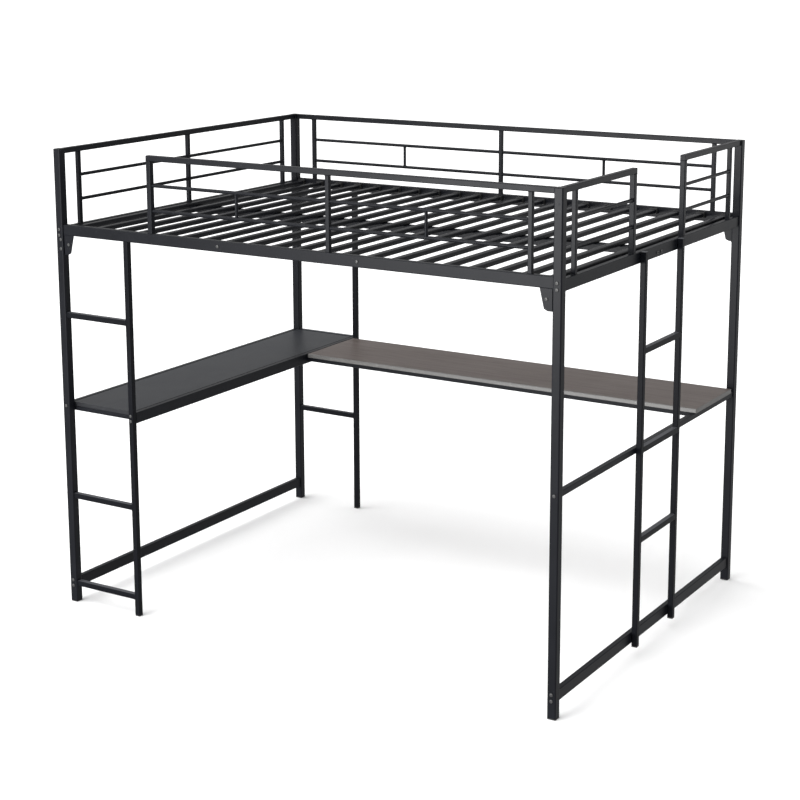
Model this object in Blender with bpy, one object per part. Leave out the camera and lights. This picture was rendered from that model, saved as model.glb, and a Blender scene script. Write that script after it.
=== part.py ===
# Loft bed with a desk and an end shelf under it, in welded and bolted square steel tube.
# Metres. X runs along the bed, Y from its open front to its back, Z up.
# The origin is on the floor, under the middle of the bounding box.

import math

import bmesh
import bpy

# clearances
gap = 0.0003                    # between pieces that touch
bolt_clearance = 0.0003         # between a bolt's shank and its hole
weld_depth = 0.0008             # how far one welded member runs into the next

# corner posts
post_spacing_x = 1.940          # between the posts' centre lines, along the bed
post_spacing_y = 1.428          # between the posts' centre lines, across the bed
post_size = 0.030
post_wall = 0.0015
post_corner = 0.004
post_top = 1.654
foot_height = 0.004             # plug's visible lip under the tube
foot_insert = 0.025             # plug's length inside the tube

# bed rails and what carries the mattress
rail_height = 0.038
rail_thickness = 0.020
rail_wall = 0.0015
rail_corner = 0.003
side_rail_top = 1.389
end_rail_top = 1.380
gusset_thickness = 0.003
gusset_reach = 0.045            # along the rail
gusset_drop = 0.068             # below the rail
gusset_tip = 0.030              # width near its lower end
gusset_clip_width = 0.012       # the corner cut off its lower end
gusset_clip_height = 0.006
beam_width = 0.040
slat_count = 21
slat_margin = 0.041             # first slat's centre line from the left posts' centre line
slat_width = 0.025
slat_thickness = 0.015
slat_drop = 0.0075              # slat's top below the side rails' top
cap_length = 0.014              # plastic cap on each end of a slat
cap_width = 0.029
cap_height = 0.021

# guard rails above the mattress
guard_tube = 0.019
guard_corner = 0.0025
picket_tube = 0.015
rod_diameter = 0.012
rod_heights = (1.466, 1.552)
front_entry = 0.4025            # left posts' centre line to the front guard's end upright
front_picket_margin = 0.0965    # right posts' centre line to the nearest front picket
back_picket_margin = 0.0955
end_picket_margin = 0.096
end_entry = 0.404               # clear span between the two right guards' end uprights, on centres

# ladders, crossbars and the short back upright
ladder_tube = 0.020
ladder_corner = 0.0025
stile_offset = 0.292            # left posts' centre line to the stiles beside them
front_rungs = (0.070, 0.402, 1.066)
back_rungs = (0.402, 0.7355)
side_ladder_width = 0.300       # between the stiles' centre lines
side_ladder_foot = 0.040
side_rungs = (0.412, 0.7205, 1.053)
low_bar_bottom = 0.0525

# shelf and desk
work_top = 0.745                # top of the desk and of the shelf
board_thickness = 0.0155
mid_bar_height = 0.020
frame_tube = 0.015
shelf_rail_height = 0.019
shelf_beam_height = 0.039
shelf_cross_count = 2
desk_depth = 0.332
desk_back_margin = 0.023        # board's back edge to the back posts
desk_overhang = 0.003           # board's edge past the frame
desk_cross_count = 2
board_edge_round = 0.0015

# bolts
bolt_head = 0.0115
bolt_head_height = 0.003
bolt_shank = 0.006
bolt_socket = 0.005
bolt_length = 0.045
rail_bolt_spacing = 0.020

# places worked out from the sizes above
ladder_outer = rail_thickness / 2 + gap + ladder_tube
overall_x = post_size / 2 + post_spacing_x + ladder_outer
left = -overall_x / 2 + post_size / 2
right = left + post_spacing_x
front = -post_spacing_y / 2
back = post_spacing_y / 2
post_half = post_size / 2
rail_half = rail_thickness / 2
stile_x = left + stile_offset
side_rail_bottom = side_rail_top - rail_height
end_rail_bottom = end_rail_top - rail_height
slat_top = side_rail_top - slat_drop
slat_bottom = slat_top - slat_thickness
board_bottom = work_top - board_thickness
frame_top = board_bottom - gap
frame_middle = frame_top - frame_tube / 2
mid_bar_middle = frame_top - mid_bar_height / 2
post_face = post_half + gap     # where a member that butts on a post stops


def material(name, color, roughness, metallic):
    made = bpy.data.materials.new(name)
    made.use_nodes = True
    shader = made.node_tree.nodes["Principled BSDF"]
    shader.inputs["Base Color"].default_value = (*color, 1.0)
    shader.inputs["Roughness"].default_value = roughness
    shader.inputs["Metallic"].default_value = metallic
    return made


def new_object(name, bm, paint, center):
    bmesh.ops.recalc_face_normals(bm, faces=bm.faces)
    mesh = bpy.data.meshes.new(name)
    bm.to_mesh(mesh)
    bm.free()
    mesh.materials.append(paint)
    made = bpy.data.objects.new(name, mesh)
    made.location = center
    bpy.context.scene.collection.objects.link(made)
    return made


def rounded_outline(width, height, radius, steps=3):
    """Corner points of a rounded rectangle, counter-clockwise, about its middle."""
    points = []
    for turn, sx, sy in ((0, 1, 1), (1, -1, 1), (2, -1, -1), (3, 1, -1)):
        cx = sx * (width / 2 - radius)
        cy = sy * (height / 2 - radius)
        for step in range(steps + 1):
            angle = math.pi / 2 * (turn + step / steps)
            points.append((cx + radius * math.cos(angle), cy + radius * math.sin(angle)))
    return points


def round_outline(diameter, sides=12):
    return [(diameter / 2 * math.cos(math.tau * i / sides), diameter / 2 * math.sin(math.tau * i / sides))
            for i in range(sides)]


def extrusion(name, paint, axis, start, end, middle, outline, bore=None):
    """A prism of the outline along an axis; a bore outline makes it a tube that is open at both ends."""
    length = end - start
    along = "XYZ".index(axis)
    across = [i for i in range(3) if i != along]

    def place(u, v, w):
        point = [0.0, 0.0, 0.0]
        point[across[0]] = u
        point[across[1]] = v
        point[along] = w
        return point

    bm = bmesh.new()

    def ring(points, w):
        return [bm.verts.new(place(u, v, w)) for u, v in points]

    def wall(low, high):
        for i in range(len(low)):
            j = (i + 1) % len(low)
            bm.faces.new((low[i], low[j], high[j], high[i]))

    low = ring(outline, -length / 2)
    high = ring(outline, length / 2)
    wall(low, high)
    if bore:
        inner_low = ring(bore, -length / 2)
        inner_high = ring(bore, length / 2)
        wall(inner_low, inner_high)
        wall(low, inner_low)
        wall(high, inner_high)
    else:
        bm.faces.new(low)
        bm.faces.new(high)
    center = place(middle[0], middle[1], (start + end) / 2)
    return new_object(name, bm, paint, center)


def tube(name, paint, axis, start, end, middle, size, corner, wall=0.0):
    outline = rounded_outline(size[0], size[1], corner)
    bore = None
    if wall:
        inner_corner = max(corner - wall, 0.0005)
        bore = rounded_outline(size[0] - 2 * wall, size[1] - 2 * wall, inner_corner)
    return extrusion(name, paint, axis, start, end, middle, outline, bore)


def square(size):
    return (size, size)


def baked(target):
    """Gives the object its evaluated mesh and drops its modifiers."""
    graph = bpy.context.evaluated_depsgraph_get()
    mesh = bpy.data.meshes.new_from_object(target.evaluated_get(graph))
    target.modifiers.clear()
    target.data = mesh
    return target


def combine(target, tools, operation):
    for tool in tools:
        boolean = target.modifiers.new(operation.lower(), "BOOLEAN")
        boolean.operation = operation
        boolean.solver = "EXACT"
        boolean.object = tool
    baked(target)
    for tool in tools:
        bpy.data.objects.remove(tool)
    return target


def weld(name, members):
    """Joins overlapping members into one solid under the first one's place."""
    target = combine(members[0], members[1:], "UNION")
    target.name = name
    target.data.name = name
    return target


def drill(target, holes):
    return combine(target, holes, "DIFFERENCE")


def bolt_hole(axis, start, end, middle):
    outline = round_outline(bolt_shank + 2 * bolt_clearance, 16)
    return extrusion("hole", steel, axis, start, end, middle, outline)


# ---- corner posts and their feet ----

def build_post(name, x, y, bolt_heights):
    shell = rounded_outline(post_size, post_size, post_corner)
    post = extrusion(name, steel, "Z", foot_height, post_top, (x, y), shell)
    core = tube("core", steel, "Z", 0.0, post_top - post_wall, (x, y),
                square(post_size - 2 * post_wall), post_corner - post_wall)
    reach = post_size
    holes = [bolt_hole("Y", y - reach, y + reach, (x, height)) for height in bolt_heights]
    return drill(post, [core] + holes)


def build_foot(name, x, y):
    lip = tube(name, plastic, "Z", 0.0, foot_height - gap, (x, y), square(post_size), post_corner)
    insert_size = post_size - 2 * post_wall - 2 * gap
    insert = tube("insert", plastic, "Z", foot_height / 2, foot_height + foot_insert, (x, y),
                  square(insert_size), post_corner - post_wall)
    return weld(name, [lip, insert])


# ---- bed rails ----

def gusset(x, side, y):
    """Triangular plate under a side rail's end; side is +1 where the rail runs to +X from the post."""
    top = side_rail_bottom + weld_depth
    low = side_rail_bottom - gusset_drop
    inner = x + side * post_face
    outline = [
        (inner, top),
        (inner + side * gusset_reach, top),
        (inner + side * gusset_tip, low + gusset_clip_height),
        (inner + side * (gusset_tip - gusset_clip_width), low),
        (inner, low),
    ]
    outward = -1 if y < 0 else 1
    face = y + outward * rail_half
    start, end = sorted((face, face - outward * gusset_thickness))
    return extrusion("gusset", steel, "Y", start, end, (0.0, 0.0), outline)


def gusset_flange(x, side, y):
    """The strip of the gusset that is turned to lie along the post."""
    inner = x + side * post_face
    start, end = sorted((inner, inner + side * gusset_thickness))
    height = gusset_drop + weld_depth
    middle_z = side_rail_bottom + weld_depth - height / 2
    outline = rounded_outline(rail_thickness, height, 0.0008, 1)
    return extrusion("flange", steel, "X", start, end, (y, middle_z), outline)


def build_side_rail(name, y):
    rail = tube(name, steel, "X", left + post_face, right - post_face,
                (y, side_rail_top - rail_height / 2), (rail_thickness, rail_height), rail_corner, rail_wall)
    plates = []
    for x, side in ((left, 1), (right, -1)):
        plates.append(gusset(x, side, y))
        plates.append(gusset_flange(x, side, y))
    return weld(name, [rail] + plates)


def build_end_rail(name, x):
    return tube(name, steel, "Y", front + post_face, back - post_face,
                (x, end_rail_top - rail_height / 2), (rail_thickness, rail_height), rail_corner, rail_wall)


def build_center_beam():
    top = slat_bottom - gap
    height = top - end_rail_bottom
    return tube("center_beam", steel, "X", left + rail_half + gap, right - rail_half - gap,
                (0.0, end_rail_bottom + height / 2), (beam_width, height), rail_corner, rail_wall)


def build_slat(index):
    pitch = (post_spacing_x - 2 * slat_margin) / (slat_count - 1)
    x = left + slat_margin + pitch * index
    reach = back - rail_half - gap
    z = slat_top - slat_thickness / 2
    name = f"slat_{index + 1:02d}"
    bar = tube(name, steel, "Y", -reach + cap_length / 2, reach - cap_length / 2, (x, z),
               (slat_width, slat_thickness), 0.003)
    caps = [tube("cap", steel, "Y", start, start + cap_length, (x, z), (cap_width, cap_height), 0.004)
            for start in (-reach, reach - cap_length)]
    return weld(name, [bar] + caps)


# ---- guards ----

def guard_top_rail(name, axis, start, end, across):
    return tube(name, steel, axis, start, end, (across, post_top - guard_tube / 2),
                square(guard_tube), guard_corner)


def upright(x, y, bottom, size, corner):
    top = post_top - guard_tube + weld_depth
    return tube("upright", steel, "Z", bottom + gap, top, (x, y), square(size), corner)


def rods(axis, start, end, across):
    outline = round_outline(rod_diameter)
    return [extrusion("rod", steel, axis, start, end, (across, height), outline) for height in rod_heights]


def strut(x, y):
    low, high = rod_heights
    return extrusion("strut", steel, "Z", low, high, (x, y), round_outline(rod_diameter * 0.9))


def build_long_guard(name, y, end_x, end_size, last_x, rail_start):
    """Guard on a long side: two end uprights, one in the middle, and a strut in the middle of each half."""
    middle_x = (end_x + last_x) / 2
    rail = guard_top_rail(name, "X", rail_start, right - post_face, y)
    members = [
        upright(end_x, y, side_rail_top, end_size, guard_corner),
        upright(middle_x, y, side_rail_top, picket_tube, 0.002),
        upright(last_x, y, side_rail_top, picket_tube, 0.002),
    ]
    members += rods("X", end_x, last_x, y)
    members += [strut((end_x + middle_x) / 2, y), strut((middle_x + last_x) / 2, y)]
    return weld(name, [rail] + members)


def build_front_guard():
    end_x = left + front_entry
    last_x = right - front_picket_margin
    return build_long_guard("guard_front", front, end_x, guard_tube, last_x, end_x - guard_tube / 2)


def build_back_guard():
    end_x = left + back_picket_margin
    last_x = right - back_picket_margin
    return build_long_guard("guard_back", back, end_x, picket_tube, last_x, left + post_face)


def build_left_guard():
    start = front + end_picket_margin
    end = back - end_picket_margin
    rail = guard_top_rail("guard_left", "Y", front + post_face, back - post_face, left)
    members = [upright(left, y, end_rail_top, picket_tube, 0.002) for y in (start, (start + end) / 2, end)]
    return weld("guard_left", [rail] + members + rods("Y", start, end, left))


def build_right_guard(name, side):
    """Half guard beside the side ladder; side is -1 at the front and +1 at the back."""
    picket_y = side * (back - end_picket_margin)
    end_y = side * end_entry / 2
    span = sorted((side * (back - post_face), end_y - side * guard_tube / 2))
    rail = guard_top_rail(name, "Y", span[0], span[1], right)
    members = [
        upright(right, end_y, end_rail_top, guard_tube, guard_corner),
        upright(right, picket_y, end_rail_top, picket_tube, 0.002),
    ]
    between = sorted((end_y, picket_y))
    return weld(name, [rail] + members + rods("Y", between[0], between[1], right))


# ---- crossbars and ladders ----

def build_low_bar(name, x):
    return tube(name, steel, "Y", front + post_face, back - post_face,
                (x, low_bar_bottom + rail_height / 2), (rail_thickness, rail_height), rail_corner, rail_wall)


def build_mid_bar():
    return tube("crossbar_right_mid", steel, "Y", front + post_face, back - post_face,
                (right, mid_bar_middle), (rail_thickness, mid_bar_height), ladder_corner, rail_wall)


def build_stile_frame(name, y, rung_heights):
    """Upright beside a left post, with rungs that run back to the post."""
    stile = tube(name, steel, "Z", 0.0, side_rail_bottom - gap, (stile_x, y), square(ladder_tube),
                 ladder_corner)
    end_x = stile_x - ladder_tube / 2 + weld_depth
    rung_list = [tube("rung", steel, "X", left + post_face, end_x, (y, z), square(ladder_tube), ladder_corner)
                 for z in rung_heights]
    return weld(name, [stile] + rung_list)


def build_side_ladder():
    x = right + rail_half + gap + ladder_tube / 2
    stiles = [tube("ladder_side", steel, "Z", side_ladder_foot, end_rail_top, (x, y),
                   square(ladder_tube), ladder_corner)
              for y in (-side_ladder_width / 2, side_ladder_width / 2)]
    reach = side_ladder_width / 2 - ladder_tube / 2 + weld_depth
    rung_list = [tube("rung", steel, "Y", -reach, reach, (x, z), square(ladder_tube), ladder_corner)
                 for z in side_rungs]
    return weld("ladder_side", stiles + rung_list)


# ---- boards and the frames under them ----

shelf_inner = stile_x + ladder_tube / 2
shelf_rail_x = left - post_half + rail_half
desk_left = shelf_inner + gap
desk_right = right + post_half
desk_back = back - post_half - desk_back_margin
desk_front = desk_back - desk_depth


def build_board(name, paint, x_span, y_span):
    middle = (sum(x_span) / 2, sum(y_span) / 2)
    outline = rounded_outline(x_span[1] - x_span[0], y_span[1] - y_span[0], 0.002, 2)
    panel = extrusion(name, paint, "Z", board_bottom, work_top, middle, outline)
    edge = panel.modifiers.new("edges", "BEVEL")
    edge.width = board_edge_round
    edge.segments = 2
    edge.limit_method = "ANGLE"
    return baked(panel)


def spaced(start, end, inner_count):
    """The two ends and so many even steps between them."""
    return [start + (end - start) * i / (inner_count + 1) for i in range(inner_count + 2)]


def build_shelf_board():
    x_span = (shelf_rail_x + rail_half + gap, shelf_inner - ladder_tube - gap)
    return build_board("shelf_board", shelf_paint, x_span, (front + post_face, back - post_face))


def build_shelf_frame():
    """Rail between the left posts, flush with the board, and the tubes that run under the board from it."""
    rail = tube("shelf_frame", steel, "Y", front + post_face, back - post_face,
                (shelf_rail_x, work_top - shelf_rail_height / 2), (rail_thickness, shelf_rail_height),
                rail_corner)
    start = shelf_rail_x - rail_half + frame_tube / 2
    end = shelf_inner - ladder_tube - gap
    edge = post_face + frame_tube / 2
    cross_tubes = [tube("cross", steel, "X", start, end, (y, frame_middle), square(frame_tube), ladder_corner)
                   for y in spaced(front + edge, back - edge, shelf_cross_count)]
    return weld("shelf_frame", [rail] + cross_tubes)


def build_shelf_beam():
    start = front + ladder_tube / 2 + gap
    end = back - ladder_tube / 2 - gap
    return tube("shelf_beam", steel, "Y", start, end, (stile_x, work_top - shelf_beam_height / 2),
                (ladder_tube, shelf_beam_height), ladder_corner, rail_wall)


def build_desk_top():
    return build_board("desk_top", board_paint, (desk_left, desk_right), (desk_front, desk_back))


def build_desk_frame():
    """Tubes under the board, from the shelf's beam to the crossbar at the right."""
    start = desk_left
    end = right - rail_half - gap
    first_y = desk_front + desk_overhang + frame_tube / 2
    last_y = desk_back - desk_overhang - frame_tube / 2
    size = square(frame_tube)
    long_tubes = [tube("desk_frame", steel, "X", start, end, (y, frame_middle), size, ladder_corner)
                  for y in (first_y, last_y)]
    low_y = first_y + frame_tube / 2 - weld_depth
    high_y = last_y - frame_tube / 2 + weld_depth
    cross_tubes = [tube("cross", steel, "Y", low_y, high_y, (x, frame_middle), size, ladder_corner)
                   for x in spaced(start + frame_tube / 2, end - frame_tube / 2, desk_cross_count)]
    return weld("desk_frame", long_tubes + cross_tubes)


# ---- bolts ----

def build_bolt(name, x, z, side):
    """Button-head bolt through a post along Y; side is -1 on the front and +1 on the back."""
    face = side * (back + post_half + gap)
    outer = face + side * bolt_head_height
    inner = outer - side * (bolt_head_height + bolt_length)
    start, end = sorted((face, outer))
    head = extrusion(name, zinc, "Y", start, end, (x, z), round_outline(bolt_head, 20))
    start, end = sorted((inner, face + side * bolt_head_height / 2))
    shank = extrusion("shank", zinc, "Y", start, end, (x, z), round_outline(bolt_shank, 16))
    weld(name, [head, shank])
    start, end = sorted((outer + side * bolt_head_height, outer - side * bolt_head_height / 2))
    socket = extrusion("socket", zinc, "Y", start, end, (x, z), round_outline(bolt_socket, 6))
    return drill(head, [socket])


for item in list(bpy.data.objects):
    bpy.data.objects.remove(item)

steel = material("black_steel", (0.030, 0.031, 0.035), 0.42, 0.0)
plastic = material("black_plastic", (0.022, 0.022, 0.024), 0.55, 0.0)
board_paint = material("desk_board", (0.165, 0.140, 0.128), 0.50, 0.0)
shelf_paint = material("shelf_board", (0.080, 0.082, 0.088), 0.45, 0.0)
zinc = material("bolt_zinc", (0.36, 0.36, 0.38), 0.35, 1.0)

rail_bolt_heights = [end_rail_top - rail_height / 2 + side * rail_bolt_spacing / 2 for side in (-1, 1)]
post_places = {
    "front_left": (left, front),
    "front_right": (right, front),
    "back_left": (left, back),
    "back_right": (right, back),
}

for corner_name, (post_x, post_y) in post_places.items():
    bolt_side = -1 if post_y < 0 else 1
    heights = list(rail_bolt_heights)
    if corner_name == "front_right":
        heights.append(mid_bar_middle)
    build_post("post_" + corner_name, post_x, post_y, heights)
    build_foot("foot_" + corner_name, post_x, post_y)
    for number, bolt_z in enumerate(heights):
        build_bolt(f"bolt_{corner_name}_{number + 1}", post_x, bolt_z, bolt_side)

build_side_rail("side_rail_front", front)
build_side_rail("side_rail_back", back)
build_end_rail("end_rail_left", left)
build_end_rail("end_rail_right", right)
build_center_beam()
for slat_index in range(slat_count):
    build_slat(slat_index)

build_front_guard()
build_back_guard()
build_left_guard()
build_right_guard("guard_right_front", -1)
build_right_guard("guard_right_back", 1)

build_low_bar("crossbar_left_low", left)
build_low_bar("crossbar_right_low", right)
build_mid_bar()
build_stile_frame("ladder_front", front, front_rungs)
build_stile_frame("back_upright", back, back_rungs)
build_side_ladder()

build_shelf_board()
build_shelf_frame()
build_shelf_beam()
build_desk_top()
build_desk_frame()
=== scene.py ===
import math

import bmesh
import bpy
from mathutils import Matrix, Vector


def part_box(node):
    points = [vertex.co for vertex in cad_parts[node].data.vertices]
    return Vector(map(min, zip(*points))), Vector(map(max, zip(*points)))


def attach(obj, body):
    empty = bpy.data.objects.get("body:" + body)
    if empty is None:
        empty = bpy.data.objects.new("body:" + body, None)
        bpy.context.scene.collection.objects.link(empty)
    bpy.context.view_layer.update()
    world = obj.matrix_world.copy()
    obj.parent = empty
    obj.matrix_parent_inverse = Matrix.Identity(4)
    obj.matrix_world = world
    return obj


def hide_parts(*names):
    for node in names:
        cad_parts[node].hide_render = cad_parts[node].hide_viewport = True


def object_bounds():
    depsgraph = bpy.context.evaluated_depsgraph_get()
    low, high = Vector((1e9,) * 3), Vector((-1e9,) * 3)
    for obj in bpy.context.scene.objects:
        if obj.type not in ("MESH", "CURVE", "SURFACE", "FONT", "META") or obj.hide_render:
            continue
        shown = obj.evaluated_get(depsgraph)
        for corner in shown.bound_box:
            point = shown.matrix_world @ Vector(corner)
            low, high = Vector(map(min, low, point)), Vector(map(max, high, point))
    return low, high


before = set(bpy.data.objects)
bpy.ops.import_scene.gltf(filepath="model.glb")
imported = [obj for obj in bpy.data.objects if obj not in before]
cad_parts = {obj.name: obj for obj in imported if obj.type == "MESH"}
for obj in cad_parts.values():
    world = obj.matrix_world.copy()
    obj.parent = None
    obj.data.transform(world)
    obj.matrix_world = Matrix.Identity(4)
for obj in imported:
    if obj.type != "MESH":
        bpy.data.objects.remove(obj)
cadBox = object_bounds()
print("frame loaded:", len(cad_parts), "parts")


# shader sums written as sums: a wire is a socket that can be added, subtracted and scaled

class Wire:
    def __init__(self, graph, socket):
        self.graph = graph
        self.socket = socket

    def maths(self, operation, first, second):
        return self.graph.node("ShaderNodeMath", {"operation": operation}, {0: first, 1: second})

    def __add__(self, other):
        return self.maths("ADD", self, other)

    def __radd__(self, other):
        return self.maths("ADD", other, self)

    def __sub__(self, other):
        return self.maths("SUBTRACT", self, other)

    def __rsub__(self, other):
        return self.maths("SUBTRACT", other, self)

    def __mul__(self, other):
        return self.maths("MULTIPLY", self, other)

    def __rmul__(self, other):
        return self.maths("MULTIPLY", other, self)


class Paint:                                   # a node material, whose pattern follows the piece's own place
    def __init__(self, name, look):
        self.material = bpy.data.materials.new(name)
        self.material.use_nodes = True
        self.tree = self.material.node_tree
        self.place = self.node("ShaderNodeTexCoord", out="Object")
        self.shader = self.tree.nodes["Principled BSDF"]
        self.feed(self.shader.inputs["Roughness"], look["roughness"])
        self.feed(self.shader.inputs["Specular IOR Level"], look["specular"])
        self.feed(self.shader.inputs["Metallic"], look.get("metallic", 0.0))

    def feed(self, socket, value):
        if isinstance(value, Wire):
            self.tree.links.new(value.socket, socket)
        else:
            socket.default_value = value

    def node(self, kind, settings=None, sockets=None, out=0):
        made = self.tree.nodes.new(kind)
        for key, value in (settings or {}).items():
            if key == "stops":
                self.setStops(made.color_ramp, value)
            else:
                setattr(made, key, value)
        for key, value in (sockets or {}).items():
            self.feed(made.inputs[key], value)
        return Wire(self, made.outputs[out])

    def setStops(self, ramp, stops):
        while len(ramp.elements) < len(stops):
            ramp.elements.new(0.5)
        for element, (position, level) in zip(ramp.elements, stops):
            element.position = position
            element.color = (level, level, level, 1.0)

    def stretched(self, scale):                # the place, scaled by axis, for a grain that runs one way
        return self.node("ShaderNodeMapping", {}, {"Vector": self.place, "Scale": scale})

    def noise(self, scale, detail=3.0, vector=None, distortion=0.0):
        sockets = {"Vector": vector or self.place, "Scale": scale, "Detail": detail, "Distortion": distortion}
        return self.node("ShaderNodeTexNoise", {}, sockets)

    def ramp(self, value, stops):
        return self.node("ShaderNodeValToRGB", {"stops": stops}, {"Fac": value})

    def mixed(self, factor, first, second):
        return self.node("ShaderNodeMix", {"data_type": "RGBA"}, {0: factor, 6: first, 7: second}, out=2)

    def bump(self, height, strength, distance):
        sockets = {"Height": height, "Strength": strength, "Distance": distance}
        self.feed(self.shader.inputs["Normal"], self.node("ShaderNodeBump", {}, sockets))

    def finished(self, color, roughness=None):
        self.feed(self.shader.inputs["Base Color"], color)
        if roughness is not None:
            self.feed(self.shader.inputs["Roughness"], roughness)
        return self.material


def grey(level, warmth=0.0):
    return (level * (1 + warmth), level, level * (1 - warmth), 1.0)


# in each look, polish is how far the smoothest spots fall below the plain roughness

# in the powder coat's look, the pale colour laid on faces that look up is a painted highlight
powderLook = {
    "deep": (0.0034, 0.0038, 0.0053, 1.0), "pale": (0.0072, 0.0080, 0.0108, 1.0), "dust": (0.028, 0.030, 0.035, 1.0),
    "paintedHighlight": (0.072, 0.074, 0.082, 1.0), "shade": 1.0, "treadWear": 0.0, "paintedUpHighlightMottle": 0.3, "roughness": 0.38,
    "polish": 0.06, "specular": 0.11, "peelScale": 1100.0, "mottleScale": 9.0, "scuffScale": 55.0,
}


def shaded(color, shade):
    return [level * shade for level in color[:3]] + [1.0]


def powderCoat(name, **changes):               # satin black powder coat on steel
    look = {**powderLook, **changes}
    g = Paint(name, look)
    mottle = g.noise(look["mottleScale"], 4.0)
    peel = g.noise(look["peelScale"], 2.0)
    pits = g.noise(look["peelScale"] * 0.35, 2.0)
    scuffs = g.ramp(g.noise(look["scuffScale"], 6.0, distortion=1.5), [(0.66, 0.0), (0.74, 1.0)])
    coat = g.mixed(mottle, shaded(look["deep"], look["shade"]), shaded(look["pale"], look["shade"]))
    color = g.mixed(scuffs * 0.22, coat, look["dust"])
    if look["treadWear"]:                      # painted highlight: paler on the faces that look up, where overhead light falls
        normal = g.node("ShaderNodeNewGeometry", out="Normal")
        facing = g.node("ShaderNodeSeparateXYZ", {}, {"Vector": normal}, out="Z")
        upward = g.ramp(facing, [(0.70, 0.0), (0.95, 1.0)])
        upHighlightAmount = mottle * look["paintedUpHighlightMottle"] + (look["treadWear"] - look["paintedUpHighlightMottle"] / 2)
        color = g.mixed(upward * upHighlightAmount, color, look["paintedHighlight"])
    g.bump(peel * 0.6 + pits * 0.4, 0.35, 0.00012)
    return g.finished(color, mottle * 0.12 + scuffs * 0.10 + (look["roughness"] - look["polish"]))


plasticLook = {"low": grey(0.012), "high": grey(0.022), "roughness": 0.55, "polish": 0.07, "specular": 0.35,
               "grainScale": 1600.0, "cloudScale": 40.0}


def mouldedPlastic(name):                      # black polyethylene with a fine moulded grain
    look = plasticLook
    g = Paint(name, look)
    grain = g.noise(look["grainScale"], 2.0)
    cloud = g.noise(look["cloudScale"], 3.0)
    g.bump(grain, 0.45, 0.0001)
    return g.finished(g.mixed(cloud, look["low"], look["high"]), cloud * 0.12 + (look["roughness"] - look["polish"]))


zincLook = {"low": grey(0.045), "high": grey(0.10), "roughness": 0.45, "polish": 0.09, "specular": 0.4,
            "metallic": 0.6, "cloudScale": 260.0, "turnedScale": 2200.0}


def zincPlate(name):                           # dull black-zinc screw heads
    look = zincLook
    g = Paint(name, look)
    cloud = g.noise(look["cloudScale"], 3.0)
    turned = g.noise(look["turnedScale"], 2.0)
    g.bump(turned, 0.3, 0.00006)
    return g.finished(g.mixed(cloud, look["low"], look["high"]), cloud * 0.2 + (look["roughness"] - look["polish"]))


deskLook = {
    "dark": (0.048, 0.037, 0.033, 1.0), "mid": (0.080, 0.064, 0.058, 1.0), "light": (0.115, 0.096, 0.088, 1.0),
    "grainAlong": 2.2, "grainAcross": 70.0, "roughness": 0.46, "polish": 0.05, "specular": 0.2,
}


def deskLaminate(name):                        # warm grey-brown wood print, its grain along the desk
    look = deskLook
    g = Paint(name, look)
    along = g.stretched((look["grainAlong"], look["grainAcross"], look["grainAcross"]))
    wander = g.noise(1.0, 5.0, vector=along, distortion=0.9)
    pores = g.noise(3.2, 4.0, vector=along, distortion=0.3)
    cloud = g.noise(2.4, 3.0)
    streaks = g.ramp(wander, [(0.34, 0.0), (0.66, 1.0)])
    pits = g.ramp(pores, [(0.30, 0.0), (0.46, 1.0)])
    board = g.mixed(streaks, look["mid"], look["light"])
    board = g.mixed(cloud * 0.6, board, look["mid"])
    color = g.mixed((1 - pits) * 0.35, board, look["dark"])
    g.bump(pits * 0.7 + wander * 0.3, 0.25, 0.00015)
    return g.finished(color, cloud * 0.10 + (1 - pits) * 0.08 + (look["roughness"] - look["polish"]))


bandLook = {"roughness": 0.45, "polish": 0.09, "specular": 0.22, "streaks": (6.0, 6.0, 220.0), "rubScale": 38.0}


def edgeBanding(name, low, high):              # plastic strip round a board, rubbed paler in places
    look = bandLook
    g = Paint(name, look)
    streak = g.noise(1.0, 4.0, vector=g.stretched(look["streaks"]), distortion=0.5)
    rubs = g.ramp(g.noise(look["rubScale"], 5.0, distortion=1.0), [(0.58, 0.0), (0.72, 1.0)])
    color = g.mixed(rubs * 0.5 + streak * 0.5, low, high)
    g.bump(streak, 0.2, 0.0001)
    return g.finished(color, rubs * 0.12 + (look["roughness"] - look["polish"]))


shelfLook = {
    "low": (0.012, 0.013, 0.015, 1.0), "high": (0.034, 0.036, 0.041, 1.0), "speck": grey(0.13), "roughness": 0.55,
    "polish": 0.19, "specular": 0.12, "brush": (60.0, 3.0, 60.0), "cloudScale": 5.0, "speckScale": 420.0,
}


def shelfLaminate(name):                       # charcoal board with a faint brushed cast
    look = shelfLook
    g = Paint(name, look)
    brushed = g.noise(1.0, 5.0, vector=g.stretched(look["brush"]), distortion=0.4)
    cloud = g.noise(look["cloudScale"], 4.0, distortion=0.6)
    speck = g.ramp(g.noise(look["speckScale"], 2.0), [(0.60, 0.0), (0.72, 1.0)])
    color = g.mixed(cloud * 0.6 + brushed * 0.4, look["low"], look["high"])
    color = g.mixed(speck * 0.25, color, look["speck"])
    g.bump(brushed * 0.5 + speck * 0.5, 0.2, 0.0001)
    return g.finished(color, cloud * 0.14 + (look["roughness"] - look["polish"]))


steel = powderCoat("powderBlack")
slatSteel = powderCoat("powderBlackSlats", shade=0.9)
# the ladders' coat: a darker copy of the powder coat for painted shade, with a painted highlight on the faces that
# look up
ladderSteelPaintedLight = powderCoat("powderBlackLadderPaintedLight", shade=0.8, specular=0.07, treadWear=0.8)
plastic = mouldedPlastic("blackPlastic")
zinc = zincPlate("blackZinc")
deskBoard = deskLaminate("deskLaminate")
deskBand = edgeBanding("deskBanding", grey(0.085, 0.03), grey(0.155, 0.02))
shelfBoard = shelfLaminate("shelfLaminate")
shelfBand = edgeBanding("shelfBanding", (0.007, 0.0075, 0.009, 1.0), (0.019, 0.020, 0.024, 1.0))
print("materials made")


# outlines: each gives its points for an inset, so that an end can be rounded over

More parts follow.
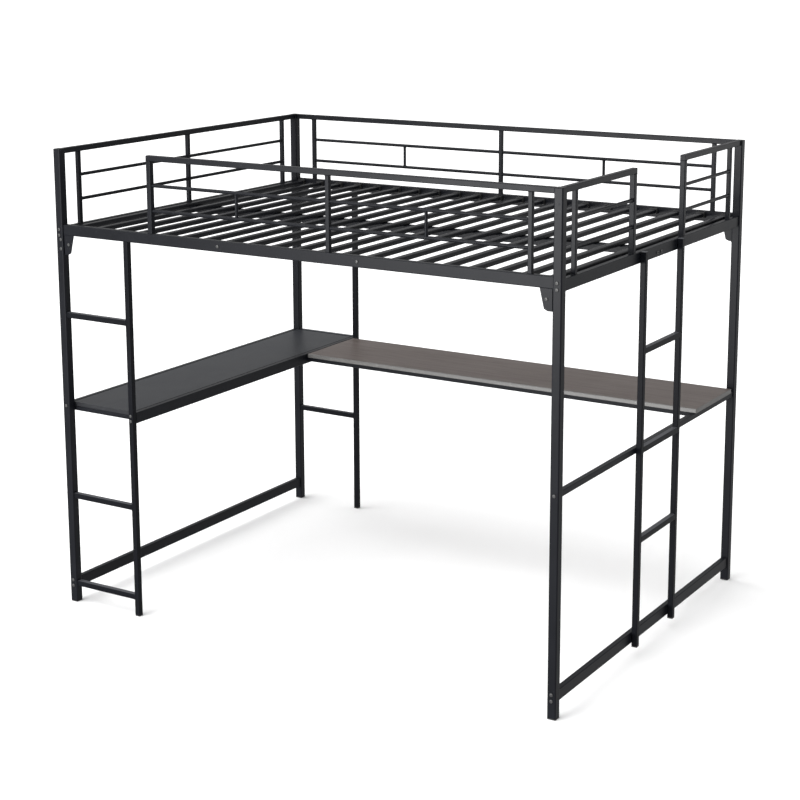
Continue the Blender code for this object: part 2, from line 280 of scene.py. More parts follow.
def squareRing(width, height, corner, steps=5):
    def ring(inset):
        radius = max(corner - inset, 0.0002)
        points = []
        for turn, sx, sy in ((0, 1, 1), (1, -1, 1), (2, -1, -1), (3, 1, -1)):
            cx = sx * (width / 2 - inset - radius)
            cy = sy * (height / 2 - inset - radius)
            for step in range(steps + 1):
                angle = math.pi / 2 * (turn + step / steps)
                points.append((cx + radius * math.cos(angle), cy + radius * math.sin(angle)))
        return points
    return ring


def roundRing(diameter, sides=20):
    def ring(inset):
        radius = diameter / 2 - inset
        return [(radius * math.cos(math.tau * i / sides), radius * math.sin(math.tau * i / sides))
                for i in range(sides)]
    return ring


def shapeRing(points):                         # a fixed outline; an inset draws it in towards its middle
    midX = sum(p[0] for p in points) / len(points)
    midY = sum(p[1] for p in points) / len(points)

    def ring(inset):
        pulled = []
        for x, y in points:
            reach = math.hypot(x - midX, y - midY)
            pulled.append((x - (x - midX) * inset / reach, y - (y - midY) * inset / reach))
        return pulled
    return ring


def placed(axis, u, v, w):                     # (u, v) across the axis and w along it, as X, Y, Z
    if axis == "X":
        return Vector((w, u, v))
    if axis == "Y":
        return Vector((u, w, v))
    return Vector((u, v, w))


def bridge(bm, low, high):
    for i in range(len(low)):
        j = (i + 1) % len(low)
        bm.faces.new((low[i], low[j], high[j], high[i]))


def addBar(bm, ring, axis, start, end, middle, rim=0.0006):   # a closed bar with eased ends
    levels = []
    for angle in (0.0, math.pi / 4, math.pi / 2):
        levels.append((start + rim * (1 - math.cos(angle)), rim * (1 - math.sin(angle))))
    levels += [(start + end - w, inset) for w, inset in reversed(levels)]
    rings = []
    for w, inset in levels:
        points = ring(inset)
        rings.append([bm.verts.new(placed(axis, middle[0] + u, middle[1] + v, w)) for u, v in points])
    for low, high in zip(rings, rings[1:]):
        bridge(bm, low, high)
    bm.faces.new(rings[0])
    bm.faces.new(rings[-1])


def addBand(bm, ring, start, end, thickness, middle, rim):    # an upright band that closes round a board
    corners = []
    for angle in (0.0, math.pi / 6, math.pi / 3, math.pi / 2):
        corners.append((end - rim * (1 - math.sin(angle)), rim * (1 - math.cos(angle))))
    levels = [(start, thickness), (start, rim)]
    levels += [(start + end - w, inset) for w, inset in reversed(corners)]
    levels += corners[::-1]
    levels += [(end, thickness)]
    rings = []
    for w, inset in levels:
        points = ring(inset)
        rings.append([bm.verts.new(Vector((middle[0] + u, middle[1] + v, w))) for u, v in points])
    for low, high in zip(rings, rings[1:] + rings[:1]):
        bridge(bm, low, high)


def settled(piece, nodes=()):            # rides on the bed and stands for its CAD nodes
    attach(piece, "root")
    if nodes:
        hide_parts(*nodes)
    return piece


def evaluatedMesh(piece):
    graph = bpy.context.evaluated_depsgraph_get()
    return bpy.data.meshes.new_from_object(piece.evaluated_get(graph), depsgraph=graph)


def finishedPiece(name, bm, paint, nodes=(), sharp=50.0):
    bmesh.ops.remove_doubles(bm, verts=bm.verts, dist=0.00001)
    bmesh.ops.recalc_face_normals(bm, faces=bm.faces)
    mesh = bpy.data.meshes.new(name)
    bm.to_mesh(mesh)
    bm.free()
    mesh.materials.append(paint)
    mesh.shade_smooth()
    mesh.set_sharp_from_angle(angle=math.radians(sharp))
    piece = bpy.data.objects.new(name, mesh)
    bpy.context.scene.collection.objects.link(piece)
    weighted = piece.modifiers.new("flatFaces", "WEIGHTED_NORMAL")
    weighted.keep_sharp = True
    weighted.weight = 80
    piece.data = evaluatedMesh(piece)
    piece.modifiers.clear()
    return settled(piece, nodes)


# the welds, screws and slats come out of node trees

class Tree:
    def __init__(self, name, inputs):
        self.group = bpy.data.node_groups.new(name, "GeometryNodeTree")
        self.group.is_modifier = True
        face = self.group.interface
        face.new_socket(name="Geometry", in_out="INPUT", socket_type="NodeSocketGeometry")
        self.names = {}
        for label, kind in inputs.items():
            socket = face.new_socket(name=label, in_out="INPUT", socket_type="NodeSocket" + kind)
            self.names[label] = socket.identifier
        face.new_socket(name="Geometry", in_out="OUTPUT", socket_type="NodeSocketGeometry")
        self.inputs = self.group.nodes.new("NodeGroupInput").outputs

    def node(self, kind, settings=None, sockets=None, out=0):
        made = self.group.nodes.new(kind)
        for key, value in (settings or {}).items():
            setattr(made, key, value)
        for key, value in (sockets or {}).items():
            if isinstance(value, bpy.types.NodeSocket):
                self.group.links.new(value, made.inputs[key])
            else:
                made.inputs[key].default_value = value
        return made.outputs[out]

    def maths(self, operation, first, second):
        return self.node("ShaderNodeMath", {"operation": operation}, {0: first, 1: second})

    def close(self, geometry, smooth=True):    # every tree ends in real faces with a finish
        shaded = self.node("GeometryNodeSetShadeSmooth", {}, {"Geometry": geometry, "Shade Smooth": smooth})
        real = self.node("GeometryNodeRealizeInstances", {}, {"Geometry": shaded})
        painted = self.node("GeometryNodeSetMaterial", {}, {"Geometry": real, "Material": self.inputs["Finish"]})
        self.group.links.new(painted, self.group.nodes.new("NodeGroupOutput").inputs["Geometry"])
        return self


def grown(name, tree, source, values, sharp=None):            # runs a tree on a source mesh, and keeps plain faces
    piece = bpy.data.objects.new(name, source)
    bpy.context.scene.collection.objects.link(piece)
    modifier = piece.modifiers.new("grow", "NODES")
    modifier.node_group = tree.group
    for label, value in values.items():
        modifier[tree.names[label]] = value
    mesh = evaluatedMesh(piece)
    piece.modifiers.clear()
    piece.data = mesh
    bpy.data.meshes.remove(source)
    mesh.name = name
    if sharp is not None:
        mesh.set_sharp_from_angle(angle=math.radians(sharp))
    return piece


def weldTree():                                # a rippled bead along each loop of edges
    inputs = {"Radius": "Float", "Ripple": "Float", "Spacing": "Float", "Seed": "Float", "Finish": "Material"}
    t = Tree("weldBead", inputs)
    curve = t.node("GeometryNodeMeshToCurve", {}, {"Mesh": t.inputs["Geometry"]})
    sampled = t.node("GeometryNodeResampleCurve", {"mode": "LENGTH"}, {"Curve": curve, "Length": t.inputs["Spacing"]})
    noise = t.node("ShaderNodeTexNoise", {"noise_dimensions": "4D"}, {"W": t.inputs["Seed"], "Scale": 320.0})
    swell = t.maths("MULTIPLY", t.maths("SUBTRACT", noise, 0.5), t.inputs["Ripple"])
    profile = t.node("GeometryNodeCurvePrimitiveCircle", {}, {"Resolution": 6, "Radius": t.inputs["Radius"]})
    sockets = {"Curve": sampled, "Profile Curve": profile, "Scale": t.maths("ADD", swell, 1.0)}
    return t.close(t.node("GeometryNodeCurveToMesh", {}, sockets))


def screwTree():                               # a screw head at each point, turned to face its way
    t = Tree("screws", {"Head": "Object", "Seed": "Int", "Finish": "Material"})
    head = t.node("GeometryNodeObjectInfo", {}, {"Object": t.inputs["Head"]}, out="Geometry")
    facing = t.node("GeometryNodeInputNamedAttribute", {"data_type": "FLOAT_VECTOR"}, {"Name": "facing"})
    turn = t.node("FunctionNodeAlignRotationToVector", {"axis": "Z"}, {"Vector": facing})
    angle = t.node("FunctionNodeRandomValue", {"data_type": "FLOAT"}, {3: math.tau, 8: t.inputs["Seed"]}, out=1)
    spin = t.node("FunctionNodeAxisAngleToRotation", {}, {"Axis": (0.0, 0.0, 1.0), "Angle": angle})
    turned = t.node("FunctionNodeRotateRotation", {"rotation_space": "LOCAL"}, {"Rotation": turn, "Rotate By": spin})
    sockets = {"Points": t.inputs["Geometry"], "Instance": head, "Rotation": turned}
    return t.close(t.node("GeometryNodeInstanceOnPoints", {}, sockets))


def rowTree():                                 # rounded bars across the bed, evenly spaced along it
    inputs = {"Count": "Int", "Start": "Vector", "Step": "Vector", "Length": "Float", "Width": "Float",
              "Thickness": "Float", "Corner": "Float", "Finish": "Material"}
    t = Tree("barRow", inputs)
    sockets = {"Count": t.inputs["Count"], "Start Location": t.inputs["Start"], "Offset": t.inputs["Step"]}
    points = t.node("GeometryNodeMeshLine", {}, sockets)
    sockets = {"Width": t.inputs["Width"], "Height": t.inputs["Thickness"]}
    section = t.node("GeometryNodeCurvePrimitiveQuadrilateral", {}, sockets)
    sockets = {"Curve": section, "Count": 3, "Radius": t.inputs["Corner"]}
    section = t.node("GeometryNodeFilletCurve", {"mode": "POLY"}, sockets)
    far = t.node("ShaderNodeCombineXYZ", {}, {"Y": t.maths("MULTIPLY", t.inputs["Length"], 0.5)})
    near = t.node("ShaderNodeCombineXYZ", {}, {"Y": t.maths("MULTIPLY", t.inputs["Length"], -0.5)})
    path = t.node("GeometryNodeCurvePrimitiveLine", {}, {"Start": near, "End": far})
    sockets = {"Curve": path, "Profile Curve": section, "Fill Caps": True}
    bar = t.node("GeometryNodeCurveToMesh", {}, sockets)
    return t.close(t.node("GeometryNodeInstanceOnPoints", {}, {"Points": points, "Instance": bar}))


weldLook = {"radius": 0.0013, "ripple": 0.9, "spacing": 0.0022, "seed": 3.0}
sink = 0.0008                                  # how far a welded end runs into the tube that it meets
weldBead = weldTree()
screwRow = screwTree()
barRow = rowTree()
beadLoops = []                                 # outlines that get a weld bead, filled in as the tubes are made


def addBead(ring, axis, middle, at):           # a bead where a bar ends on another
    edge = Vector((weldLook["radius"], weldLook["radius"], weldLook["radius"])) * 1.25
    lowest, highest = cadBox[0] + edge, cadBox[1] - edge
    loop = [placed(axis, middle[0] + u, middle[1] + v, at) for u, v in ring(-0.0002)]
    beadLoops.append([[min(max(c, a), b) for c, a, b in zip(p, lowest, highest)] for p in loop])


# corner posts with their caps and feet

def middleOf(node):
    low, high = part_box(node)
    return (low + high) / 2


postLook = {"size": 0.030, "corner": 0.004, "wall": 0.0015, "rim": 0.0010, "mouthRim": 0.0007, "capDrop": 0.0012,
            "capGap": 0.0003, "capRim": 0.0010, "footGap": 0.0003, "footRim": 0.0012, "spigot": (0.001, 0.003)}
corners = ("front_left", "front_right", "back_left", "back_right")
print("making the posts")
for cornerName in corners:
    low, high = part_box("post_" + cornerName)
    middle = (low + high) / 2
    size = postLook["size"]
    bm = bmesh.new()
    tubeTop = high.z - postLook["capDrop"] / 2
    addBar(bm, squareRing(size, size, postLook["corner"]), "Z", low.z, tubeTop - postLook["capDrop"],
           middle.xy, postLook["rim"])
    outer = squareRing(size, size, postLook["corner"])
    addBand(bm, outer, tubeTop - 2 * postLook["capDrop"], tubeTop, postLook["wall"], middle.xy, postLook["mouthRim"])
    finishedPiece("post_" + cornerName + "_tube", bm, steel, ["post_" + cornerName])
    bm = bmesh.new()
    inner = size - 2 * postLook["wall"] - 2 * postLook["capGap"]
    addBar(bm, squareRing(inner, inner, postLook["corner"] - postLook["wall"]), "Z",
           tubeTop - 1.5 * postLook["capDrop"], high.z, middle.xy, postLook["capRim"])
    finishedPiece("post_" + cornerName + "_cap", bm, plastic)
    low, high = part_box("foot_" + cornerName)
    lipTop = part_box("post_" + cornerName)[0].z
    bm = bmesh.new()
    addBar(bm, squareRing(size, size, postLook["corner"]), "Z", low.z, lipTop - postLook["footGap"], middle.xy,
           postLook["footRim"])
    sunk, raised = postLook["spigot"]          # the foot's own plug, inside the tube
    addBar(bm, squareRing(inner, inner, postLook["corner"] - postLook["wall"]), "Z",
           lipTop - sunk, lipTop + raised, middle.xy)
    finishedPiece("foot_" + cornerName + "_plug", bm, plastic, ["foot_" + cornerName])


# bed rails

railLook = {"height": 0.038, "thickness": 0.020, "corner": 0.003, "gusset": 0.003, "gussetTip": 0.030,
            "gussetReach": 0.045, "gussetClip": (0.012, 0.006), "gussetEase": 0.0005, "flangeCorner": 0.0010}
railRing = squareRing(railLook["thickness"], railLook["height"], railLook["corner"])


def gussetPlate(bm, x, side, y, top, bottom):
    clipWidth, clipHeight = railLook["gussetClip"]
    tip = x + side * railLook["gussetTip"]
    points = [(x, top), (x + side * railLook["gussetReach"], top), (tip, bottom + clipHeight),
              (tip - side * clipWidth, bottom), (x, bottom)]
    outward = -1 if y < 0 else 1
    face = y + outward * railLook["thickness"] / 2
    start, end = sorted((face, face - outward * railLook["gusset"]))
    addBar(bm, shapeRing(points), "Y", start, end, (0.0, 0.0), railLook["gussetEase"])
    start, end = sorted((x, x + side * railLook["gusset"]))
    flange = squareRing(railLook["thickness"], top - bottom, railLook["flangeCorner"], 2)
    addBar(bm, flange, "X", start, end, (y, (top + bottom) / 2), railLook["gussetEase"])


print("making the rails")
for node in ("side_rail_front", "side_rail_back"):
    low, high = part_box(node)
    middle = (low + high) / 2
    railBottom = high.z - railLook["height"]
    bm = bmesh.new()
    addBar(bm, railRing, "X", low.x, high.x, (middle.y, high.z - railLook["height"] / 2))
    for x, side in ((low.x, 1), (high.x, -1)):
        gussetPlate(bm, x, side, middle.y, railBottom + sink, low.z)
    finishedPiece(node + "_tube", bm, steel, [node])
for node in ("end_rail_left", "end_rail_right", "crossbar_left_low", "crossbar_right_low", "crossbar_right_mid",
             "shelf_beam"):
    low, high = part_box(node)
    middle = (low + high) / 2
    bm = bmesh.new()
    ring = squareRing(high.x - low.x, high.z - low.z, railLook["corner"])
    addBar(bm, ring, "Y", low.y, high.y, (middle.x, middle.z))
    finishedPiece(node + "_tube", bm, steel, [node])
low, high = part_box("center_beam")
middle = (low + high) / 2
bm = bmesh.new()
addBar(bm, squareRing(high.y - low.y, high.z - low.z, railLook["corner"]), "X", low.x, high.x, (middle.y, middle.z))
finishedPiece("center_beam_tube", bm, steel, ["center_beam"])


# slats

slatLook = {"count": 21, "width": 0.025, "thickness": 0.015, "corner": 0.003, "capLength": 0.014,
            "capWidth": 0.029, "capHeight": 0.021, "capCorner": 0.004}
slatNodes = [f"slat_{i + 1:02d}" for i in range(slatLook["count"])]
print("laying the slats")
first = middleOf(slatNodes[0])
last = middleOf(slatNodes[-1])
low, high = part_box(slatNodes[0])
slatRun = {"Count": slatLook["count"], "Step": (last - first) / (slatLook["count"] - 1)}
bars = grown("slat_bars", barRow, bpy.data.meshes.new("empty"), {
    **slatRun, "Start": first, "Length": high.y - low.y - slatLook["capLength"], "Width": slatLook["width"],
    "Thickness": slatLook["thickness"], "Corner": slatLook["corner"], "Finish": slatSteel}, sharp=40.0)
settled(bars, slatNodes)
for sideName, edge in (("front", low.y + slatLook["capLength"] / 2), ("back", high.y - slatLook["capLength"] / 2)):
    caps = grown("slat_caps_" + sideName, barRow, bpy.data.meshes.new("empty"), {
        **slatRun, "Start": Vector((first.x, edge, first.z)), "Length": slatLook["capLength"],
        "Width": slatLook["capWidth"], "Thickness": slatLook["capHeight"], "Corner": slatLook["capCorner"],
        "Finish": plastic}, sharp=40.0)
    settled(caps)


# guards: a top rail on uprights, with two rods and their struts between

guardLook = {"tube": 0.019, "picket": 0.015, "corner": 0.0025, "picketCorner": 0.002, "rod": 0.012, "strut": 0.0108,
             "rodHeights": (1.466, 1.552), "margin": 0.0805, "rim": 0.0009, "rodRim": 0.0003, "beadLift": 0.0006}
guards = {
    "guard_front": ("X", "tube", "picket", True, True),
    "guard_back": ("X", "picket", "picket", True, True),
    "guard_left": ("Y", "picket", "picket", True, False),
    "guard_right_front": ("Y", "picket", "tube", False, False),
    "guard_right_back": ("Y", "tube", "picket", False, False),
}


def guardFrame(node, axis, firstKind, lastKind, hasMiddle, hasStruts):
    look = guardLook
    low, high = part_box(node)
    along = "XY".index(axis)
    across = (low[1 - along] + high[1 - along]) / 2
    tube = squareRing(look["tube"], look["tube"], look["corner"])
    picket = squareRing(look["picket"], look["picket"], look["picketCorner"])
    rod = roundRing(look["rod"])
    railMiddle = high.z - look["tube"] / 2
    railUnder = high.z - look["tube"]
    inset = {"tube": look["tube"] / 2, "picket": look["margin"]}
    firstAt = low[along] + inset[firstKind]
    lastAt = high[along] - inset[lastKind]
    uprights = [(firstAt, firstKind), (lastAt, lastKind)]
    if hasMiddle:
        uprights.insert(1, ((firstAt + lastAt) / 2, "picket"))
    bm = bmesh.new()
    addBar(bm, tube, axis, low[along], high[along], (across, railMiddle), look["rim"])
    for at, kind in uprights:
        ring = tube if kind == "tube" else picket
        spot = (at, across) if axis == "X" else (across, at)
        addBar(bm, ring, "Z", low.z, railUnder + sink, spot)
        addBead(ring, "Z", spot, low.z + look["beadLift"])
        addBead(ring, "Z", spot, railUnder)
    stops = [at for at, kind in uprights]
    for height in look["rodHeights"]:
        addBar(bm, rod, axis, firstAt, lastAt, (across, height), look["rodRim"])
        for index, (at, kind) in enumerate(uprights):
            half = look[kind] / 2
            if index > 0:
                addBead(rod, axis, (across, height), at - half)
            if index < len(uprights) - 1:
                addBead(rod, axis, (across, height), at + half)
    if hasStruts:
        for a, b in zip(stops, stops[1:]):
            spot = ((a + b) / 2, across)
            addBar(bm, roundRing(look["strut"]), "Z", *look["rodHeights"], spot, look["rodRim"])
            for height, side in zip(look["rodHeights"], (1, -1)):
                addBead(roundRing(look["strut"] * 0.9), "Z", spot, height + side * look["rod"] * 0.5)
    return finishedPiece(node + "_weldment", bm, steel, [node])


print("making the guards")
for node, plan in guards.items():
    guardFrame(node, *plan)


# ladders and the short upright at the back

ladderLook = {"tube": 0.020, "corner": 0.0025, "frontRungs": (0.070, 0.402, 1.066), "backRungs": (0.402, 0.7355),
              "sideRungs": (0.412, 0.7205, 1.053), "rim": 0.0009, "beadLift": 0.0004, "plugHeight": 0.004,
              "plugGap": 0.0003, "plugRim": 0.0010}
ladderRing = squareRing(ladderLook["tube"], ladderLook["tube"], ladderLook["corner"])
plugs = bmesh.new()


def endPlug(spot, bottom):                     # square plug with an eased lip under a stile
    size = ladderLook["tube"]
    addBar(plugs, squareRing(size, size, ladderLook["corner"]), "Z", bottom, bottom + ladderLook["plugHeight"],
           spot, ladderLook["plugRim"])


def stileFrame(node, rungHeights):
    look = ladderLook
    low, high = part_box(node)
    spot = (high.x - look["tube"] / 2, (low.y + high.y) / 2)
    bm = bmesh.new()
    addBar(bm, ladderRing, "Z", low.z + look["plugHeight"] + look["plugGap"], high.z, spot, look["rim"])
    endPlug(spot, low.z)
    stileFace = spot[0] - look["tube"] / 2
    for height in rungHeights:
        addBar(bm, ladderRing, "X", low.x, stileFace + sink, (spot[1], height))
        addBead(ladderRing, "X", (spot[1], height), stileFace)
        addBead(ladderRing, "X", (spot[1], height), low.x + look["beadLift"])
    return finishedPiece(node + "_weldment", bm, ladderSteelPaintedLight, [node])


def sideLadder(node, rungHeights):
    look = ladderLook
    low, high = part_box(node)
    x = (low.x + high.x) / 2
    half = look["tube"] / 2
    bm = bmesh.new()
    for y in (low.y + half, high.y - half):
        addBar(bm, ladderRing, "Z", low.z + look["plugHeight"] + look["plugGap"], high.z, (x, y), look["rim"])
        endPlug((x, y), low.z)
    for height in rungHeights:
        addBar(bm, ladderRing, "Y", low.y + 2 * half - sink, high.y - 2 * half + sink, (x, height))
        addBead(ladderRing, "Y", (x, height), low.y + 2 * half)
        addBead(ladderRing, "Y", (x, height), high.y - 2 * half)
    return finishedPiece(node + "_weldment", bm, ladderSteelPaintedLight, [node])


print("making the ladders")
stileFrame("ladder_front", ladderLook["frontRungs"])
stileFrame("back_upright", ladderLook["backRungs"])
sideLadder("ladder_side", ladderLook["sideRungs"])
finishedPiece("stile_plugs", plugs, plastic)


# shelf, desk and the tubes under them

boardLook = {"bandThickness": 0.003, "bandRim": 0.0018, "corner": 0.004, "frameTube": 0.015, "frameCorner": 0.0022,
             "railHeight": 0.019, "crossCount": 2, "underGap": 0.0002, "topGap": 0.0001, "boardRim": 0.0002}


def bandedBoard(name, node, boardPaint, bandPaint):
    look = boardLook
    low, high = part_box(node)
    middle = (low + high) / 2
    outer = squareRing(high.x - low.x, high.y - low.y, look["corner"], 6)
    bm = bmesh.new()
    addBand(bm, outer, low.z, high.z, look["bandThickness"], middle.xy, look["bandRim"])
    finishedPiece(name + "_banding", bm, bandPaint)
    bm = bmesh.new()
    width = high.x - low.x - 2 * look["bandThickness"]
    depth = high.y - low.y - 2 * look["bandThickness"]
    addBar(bm, squareRing(width, depth, look["corner"] - look["bandRim"], 4), "Z",
           low.z + look["underGap"], high.z - look["topGap"], middle.xy, look["boardRim"])
    return finishedPiece(name + "_board", bm, boardPaint, [node])


def evenly(start, end, innerCount):
    return [start + (end - start) * i / (innerCount + 1) for i in range(innerCount + 2)]


def deskFrame(node):
    look = boardLook
    low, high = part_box(node)
    half = look["frameTube"] / 2
    z = (low.z + high.z) / 2
    ring = squareRing(look["frameTube"], look["frameTube"], look["frameCorner"])
    bm = bmesh.new()
    for y in (low.y + half, high.y - half):
        addBar(bm, ring, "X", low.x, high.x, (y, z))
    for x in evenly(low.x + half, high.x - half, look["crossCount"]):
        addBar(bm, ring, "Y", low.y + 2 * half - sink, high.y - 2 * half + sink, (x, z))
        addBead(ring, "Y", (x, z), low.y + 2 * half)
        addBead(ring, "Y", (x, z), high.y - 2 * half)
    return finishedPiece(node + "_weldment", bm, steel, [node])


def shelfFrame(node):
    look = boardLook
    low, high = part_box(node)
    half = look["frameTube"] / 2
    railX = low.x + railLook["thickness"] / 2
    z = low.z + half
    ring = squareRing(look["frameTube"], look["frameTube"], look["frameCorner"])
    bm = bmesh.new()
    rail = squareRing(railLook["thickness"], look["railHeight"], railLook["corner"])
    addBar(bm, rail, "Y", low.y, high.y, (railX, high.z - look["railHeight"] / 2))
    for y in evenly(low.y + half, high.y - half, look["crossCount"]):
        addBar(bm, ring, "X", railX, high.x, (y, z))
        addBead(ring, "X", (y, z), low.x + railLook["thickness"])
    return finishedPiece(node + "_weldment", bm, steel, [node])


print("making the shelf and the desk")
bandedBoard("desk_top", "desk_top", deskBoard, deskBand)
bandedBoard("shelf", "shelf_board", shelfBoard, shelfBand)
deskFrame("desk_frame")
shelfFrame("shelf_frame")


# weld beads

def loopMesh(loops):
    mesh = bpy.data.meshes.new("weldLoops")
    points, edges = [], []
    for loop in loops:
        base = len(points)
        points += loop
        edges += [(base + i, base + (i + 1) % len(loop)) for i in range(len(loop))]
    mesh.from_pydata(points, edges, [])
    return mesh


beads = grown("weld_beads", weldBead, loopMesh(beadLoops), {
    "Radius": weldLook["radius"], "Ripple": weldLook["ripple"], "Spacing": weldLook["spacing"],
    "Seed": weldLook["seed"], "Finish": steel})
settled(beads)


# screws: button heads with a hex socket

screwLook = {
    "width": 0.0115, "height": 0.0030, "socket": 0.0052, "socketDepth": 0.0018, "seed": 11,
    "gussetRow": (1.303, 1.336), "rowShift": 0.006, "plateReach": 0.022, "plateHeight": 1.319, "pairHalf": 0.0105,
    "stilePair": 0.0185, "railScrews": (-0.289, 0.259), "railRise": 0.009, "endScrews": (-0.022, 0.011),
    "endDrop": 0.004, "lift": 0.0003, "sides": 24,
}


def screwHead():
    look = screwLook
    bm = bmesh.new()
    sides = look["sides"]
    socketRadius = look["socket"] / 2
    levels = [(look["width"] / 2, 0.0), (look["width"] / 2, look["height"] * 0.25)]
    for angle in (25.0, 50.0, 70.0):
        turn = math.radians(angle)
        rise = look["height"] * (0.25 + 0.75 * math.sin(turn))
        levels.append((socketRadius * 1.25 + (look["width"] / 2 - socketRadius * 1.25) * math.cos(turn), rise))
    levels.append((socketRadius * 1.2, look["height"]))
    rings = []
    for radius, z in levels:
        angles = [math.tau * i / sides for i in range(sides)]
        spots = [(radius * math.cos(angle), radius * math.sin(angle)) for angle in angles]
        rings.append([bm.verts.new((x, y, z)) for x, y in spots])

    def hexPoint(i):                           # the socket's wall, met at the same number of points
        angle = math.tau * i / sides
        reach = socketRadius * math.cos(math.pi / 6) / math.cos((angle % (math.pi / 3)) - math.pi / 6)
        return reach * math.cos(angle), reach * math.sin(angle)

    for z in (look["height"], look["height"] - look["socketDepth"]):
        rings.append([bm.verts.new((*hexPoint(i), z)) for i in range(sides)])
    for lower, upper in zip(rings, rings[1:]):
        bridge(bm, lower, upper)
    bm.faces.new(rings[-1])
    bm.faces.new(rings[0])
    bmesh.ops.recalc_face_normals(bm, faces=bm.faces)
    mesh = bpy.data.meshes.new("screwHead")
    bm.to_mesh(mesh)
    bm.free()
    head = bpy.data.objects.new("screwHead", mesh)
    bpy.context.scene.collection.objects.link(head)
    return head


def screwPlaces():
    places = []
    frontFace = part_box("post_front_left")[0].y
    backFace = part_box("post_back_left")[1].y
    lift = screwLook["lift"]
    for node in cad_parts:
        if node.startswith("bolt_"):
            low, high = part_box(node)
            side = -1 if high.y < 0 else 1
            face = (frontFace if side < 0 else backFace) + side * lift
            places.append(((low.x + high.x) / 2, face, (low.z + high.z) / 2, (0, side, 0)))
    leftX = middleOf("post_front_left").x
    rightX = middleOf("post_front_right").x
    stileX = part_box("ladder_front")[1].x - ladderLook["tube"] / 2
    lowBar = middleOf("crossbar_right_low").z
    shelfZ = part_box("shelf_frame")[1].z - boardLook["railHeight"] / 2
    railY = railLook["thickness"] / 2
    for side, face in ((-1, frontFace), (1, backFace)):
        postFace = face + side * lift
        postY = face - side * postLook["size"] / 2
        for x, inward in ((leftX, 1), (rightX, -1)):
            for z in (lowBar - screwLook["pairHalf"], lowBar + screwLook["pairHalf"]):
                places.append((x, postFace, z, (0, side, 0)))
            if inward * side < 0:
                for z in screwLook["gussetRow"]:
                    places.append((x + inward * screwLook["rowShift"], postFace, z, (0, side, 0)))
            plateX = x + inward * (postLook["size"] / 2 + screwLook["plateReach"])
            places.append((plateX, postY + side * (railY + lift), screwLook["plateHeight"], (0, side, 0)))
        places.append((leftX, postFace, shelfZ, (0, side, 0)))
        stileFace = postY + side * (ladderLook["tube"] / 2 + lift)
        for z in (shelfZ, shelfZ - screwLook["stilePair"]):
            places.append((stileX, stileFace, z, (0, side, 0)))
        railFace = postY + side * (railY + lift)
        for x in screwLook["railScrews"]:
            places.append((x, railFace, middleOf("end_rail_left").z + screwLook["railRise"], (0, side, 0)))
    endZ = middleOf("end_rail_right").z
    for x, side in ((rightX, 1), (leftX, -1)):
        for y in screwLook["endScrews"]:
            places.append((x + side * (railY + lift), y, endZ - screwLook["endDrop"], (side, 0, 0)))
    return places


def screwPoints(places):
    mesh = bpy.data.meshes.new("screwPoints")
    mesh.from_pydata([p[:3] for p in places], [], [])
    facing = mesh.attributes.new("facing", "FLOAT_VECTOR", "POINT")
    for index, place in enumerate(places):
        facing.data[index].vector = place[3]
    return mesh


head = screwHead()
places = screwPlaces()
screws = grown("screw_heads", screwRow, screwPoints(places), {
    "Head": head, "Seed": screwLook["seed"], "Finish": zinc}, sharp=35.0)
bpy.data.objects.remove(head)
settled(screws, [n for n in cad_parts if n.startswith("bolt_")])
print("drove", len(places), "screws")


# floor, light and camera

floorLook = {"low": grey(0.90), "high": grey(0.93), "roughness": 0.9, "specular": 0.0, "reach": 1500.0, "drop": 0.0005,
             "cloudScale": 0.6}


def studioFloor(name):
    g = Paint(name, floorLook)
    cloud = g.noise(floorLook["cloudScale"], 2.0)
    return g.finished(g.mixed(cloud, floorLook["low"], floorLook["high"]))


floorMesh = bpy.data.meshes.new("studioFloor")
reach = floorLook["reach"]
floorMesh.from_pydata([(-reach, -reach, 0), (reach, -reach, 0), (reach, reach, 0), (-reach, reach, 0)], [],
                      [(0, 1, 2, 3)])
floorMesh.materials.append(studioFloor("paleFloor"))
floor = bpy.data.objects.new("studioFloor", floorMesh)
floor.location.z = -floorLook["drop"]
floor.visible_glossy = False                   # the sweep is kept out of the steel's reflections
bpy.context.scene.collection.objects.link(floor)

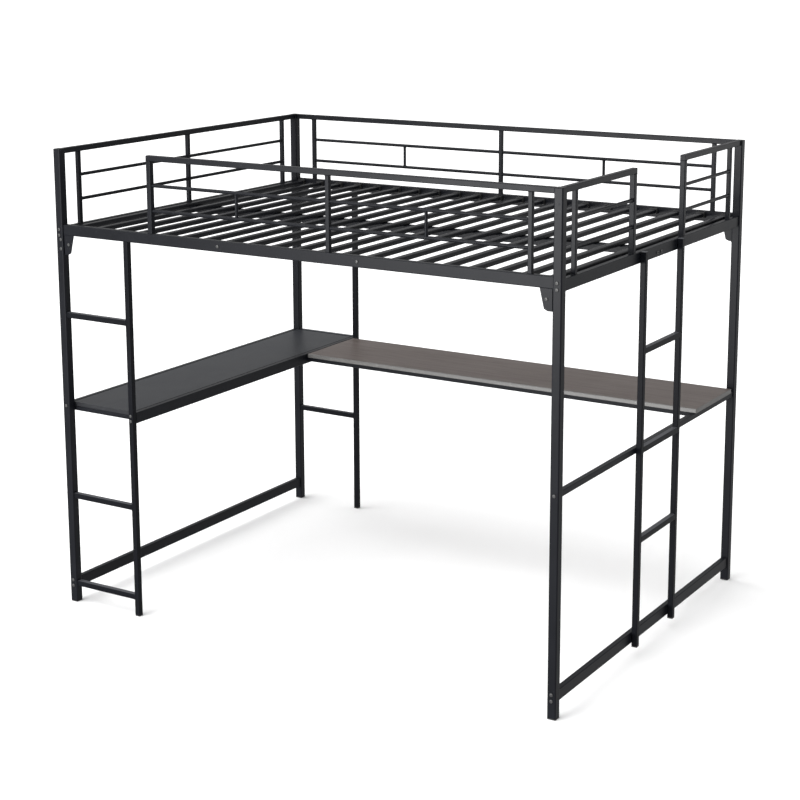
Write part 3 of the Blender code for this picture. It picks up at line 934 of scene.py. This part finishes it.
softboxes = {                                  # place, what it points at, width and height, watts
    "keySoftbox": {"place": (-2.4, -8.2, 0.95), "aim": (0.6, -0.7, 1.3), "size": (3.0, 1.5), "power": 620.0},
    "sideSoftbox": {"place": (3.2, 4.4, 1.5), "aim": (0.2, -0.4, 1.2), "size": (2.4, 1.6), "power": 9.0},
}
overhead = {"strength": 3.7, "spread": 75.0, "from": (-0.38, -0.42, 0.84)}
worldStrength = 0.62


def aimed(light, away):                        # a light's own -Z axis is the way it shines
    light.rotation_euler = (-Vector(away)).to_track_quat("-Z", "Y").to_euler()
    bpy.context.scene.collection.objects.link(light)


for name, look in softboxes.items():
    data = bpy.data.lights.new(name, "AREA")
    data.shape = "RECTANGLE"
    data.size, data.size_y = look["size"]
    data.energy = look["power"]
    light = bpy.data.objects.new(name, data)
    light.visible_camera = False
    light.location = look["place"]
    aimed(light, Vector(look["place"]) - Vector(look["aim"]))
data = bpy.data.lights.new("overhead", "SUN")
data.energy = overhead["strength"]
data.angle = math.radians(overhead["spread"])
aimed(bpy.data.objects.new("overhead", data), overhead["from"])

world = bpy.data.worlds.new("studio")
world.use_nodes = True
world.node_tree.nodes["Background"].inputs["Color"].default_value = grey(1.0)
world.node_tree.nodes["Background"].inputs["Strength"].default_value = worldStrength
bpy.context.scene.world = world

cameraLook = {"place": (3.26405, -5.3385, 2.3675), "turn": 0.5527, "tilt": 0.1952, "roll": -0.0032, "lens": 80.18,
              "shiftY": -0.1375}
cameraData = bpy.data.cameras.new("camera")
cameraData.lens = cameraLook["lens"]
cameraData.sensor_width = 36.0
cameraData.shift_y = cameraLook["shiftY"]
cameraData.clip_end = 5000.0
camera = bpy.data.objects.new("camera", cameraData)
turn = Matrix.Rotation(cameraLook["turn"], 4, "Z")
tilt = Matrix.Rotation(math.pi / 2 - cameraLook["tilt"], 4, "X")
roll = Matrix.Rotation(cameraLook["roll"], 4, "Z")
camera.matrix_world = Matrix.Translation(cameraLook["place"]) @ turn @ tilt @ roll
bpy.context.scene.collection.objects.link(camera)
bpy.context.scene.camera = camera
bpy.context.scene.view_settings.view_transform = "Standard"
print("studio set")
